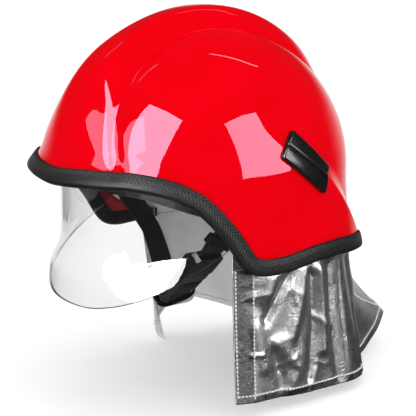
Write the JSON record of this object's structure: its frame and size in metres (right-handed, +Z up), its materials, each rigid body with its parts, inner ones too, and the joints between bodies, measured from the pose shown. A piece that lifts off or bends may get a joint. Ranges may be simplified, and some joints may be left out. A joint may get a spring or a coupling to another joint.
{
  "type": "fire helmet",
  "caption": "Crested fire helmet with swing-up clear face visor, ratchet head cradle, buckled chin strap with cup, and aluminised neck cape.",
  "frame": {"origin": "middle of the head opening, on the centre plane, level with the lower edge of the front brim", "axes": "+Z up, -Y the way the wearer faces, +X towards the wearer's left"},
  "size_m": [0.2404, 0.3572, 0.3271],
  "materials": {
    "shell_red": "high gloss",
    "trim_rubber": "embossed matt",
    "black_plastic": "satin",
    "visor_clear": "clear gloss",
    "foam": "matt",
    "strap_web": "woven",
    "band_plastic": "satin",
    "pad_fabric": "matt",
    "metal_pin": "brushed",
    "tongue_plastic": "satin",
    "cape_cloth": "aluminised, crinkled",
    "hook_loop": "napped"
  },
  "bodies": {
    "helmet": {"outer_shell": "shell_red", "edge_trim": "trim_rubber", "side_clip_left": "black_plastic", "side_clip_right": "black_plastic", "pivot_stud_left": "black_plastic", "pivot_stud_right": "black_plastic", "impact_liner": "foam", "liner_block_left": "foam", "liner_block_right": "foam", "liner_block_rear": "foam", "crown_straps": "strap_web", "headband": "band_plastic", "brow_pad": "pad_fabric", "hanger_front_left": "black_plastic", "hanger_front_right": "black_plastic", "hanger_rear_left": "black_plastic", "hanger_rear_right": "black_plastic", "tail_keeper_left": "black_plastic", "tail_keeper_right": "black_plastic", "ratchet_housing": "black_plastic", "ratchet_cover": "black_plastic", "nape_pad": "pad_fabric", "strap_anchor_left": "black_plastic", "strap_anchor_right": "black_plastic", "hook_strip": "hook_loop", "cape_band": "hook_loop", "neck_cape": "cape_cloth"},
    "visor": {"visor": "visor_clear", "pivot_hub_left": "black_plastic", "pivot_hub_right": "black_plastic"},
    "knob": {"ratchet_knob": "black_plastic", "ratchet_pinion": "metal_pin"},
    "tail_left": {"band_tail_left": "band_plastic"},
    "tail_right": {"band_tail_right": "band_plastic"},
    "chin_strap": {"strap_web_left": "strap_web", "strap_web_right": "strap_web", "buckle_socket": "black_plastic", "buckle_tongue": "tongue_plastic", "strap_sleeve": "pad_fabric", "chin_cup": "black_plastic", "chin_pad": "pad_fabric"},
    "slider": {"strap_slider": "black_plastic"},
    "leg_front": {"buckle_leg_front": "tongue_plastic"},
    "leg_back": {"buckle_leg_back": "tongue_plastic"}
  },
  "joints": [
    {"name": "visor_tilt", "type": "hinge", "parent": "helmet", "child": "visor", "pos_m": [0, -0.002, -0.02], "axis": [-1, 0, 0], "range_deg": [0, 30]},
    {"name": "knob_turn", "type": "hinge", "parent": "helmet", "child": "knob", "pos_m": [0, 0.103, -0.026], "axis": [0, 1, 0], "range_deg": [-180, 180]},
    {"name": "tail_left_turn", "type": "hinge", "parent": "helmet", "child": "tail_left", "pos_m": [0, 0.014, -0.026], "axis": [0, 0, 1], "range_deg": [-11.2, 11.2]},
    {"name": "tail_right_turn", "type": "hinge", "parent": "helmet", "child": "tail_right", "pos_m": [0, 0.014, -0.026], "axis": [0, 0, 1], "range_deg": [-11.2, 11.2]},
    {"name": "chin_strap_swing", "type": "hinge", "parent": "helmet", "child": "chin_strap", "pos_m": [0, -0.028, -0.022], "axis": [1, 0, 0], "range_deg": [-40, 25]},
    {"name": "slider_slide", "type": "slide", "parent": "chin_strap", "child": "slider", "axis": [-0.4594, -0.3802, -0.8027], "range_m": [-0.004, 0.004]},
    {"name": "buckle_press_front", "type": "hinge", "parent": "chin_strap", "child": "leg_front", "pos_m": [0.05893, -0.0578, -0.07688], "axis": [-0.6947, 0, 0.7193], "range_deg": [0, 8]},
    {"name": "buckle_press_back", "type": "hinge", "parent": "chin_strap", "child": "leg_back", "pos_m": [0.05893, -0.0402, -0.07688], "axis": [0.6947, 0, -0.7193], "range_deg": [0, 8]}
  ],
  "couplings": [
    {"joint": "tail_left_turn", "follows": "knob_turn", "ratio": 0.061125},
    {"joint": "tail_right_turn", "follows": "knob_turn", "ratio": -0.061125},
    {"joint": "buckle_press_back", "follows": "buckle_press_front", "ratio": 1}
  ]
}
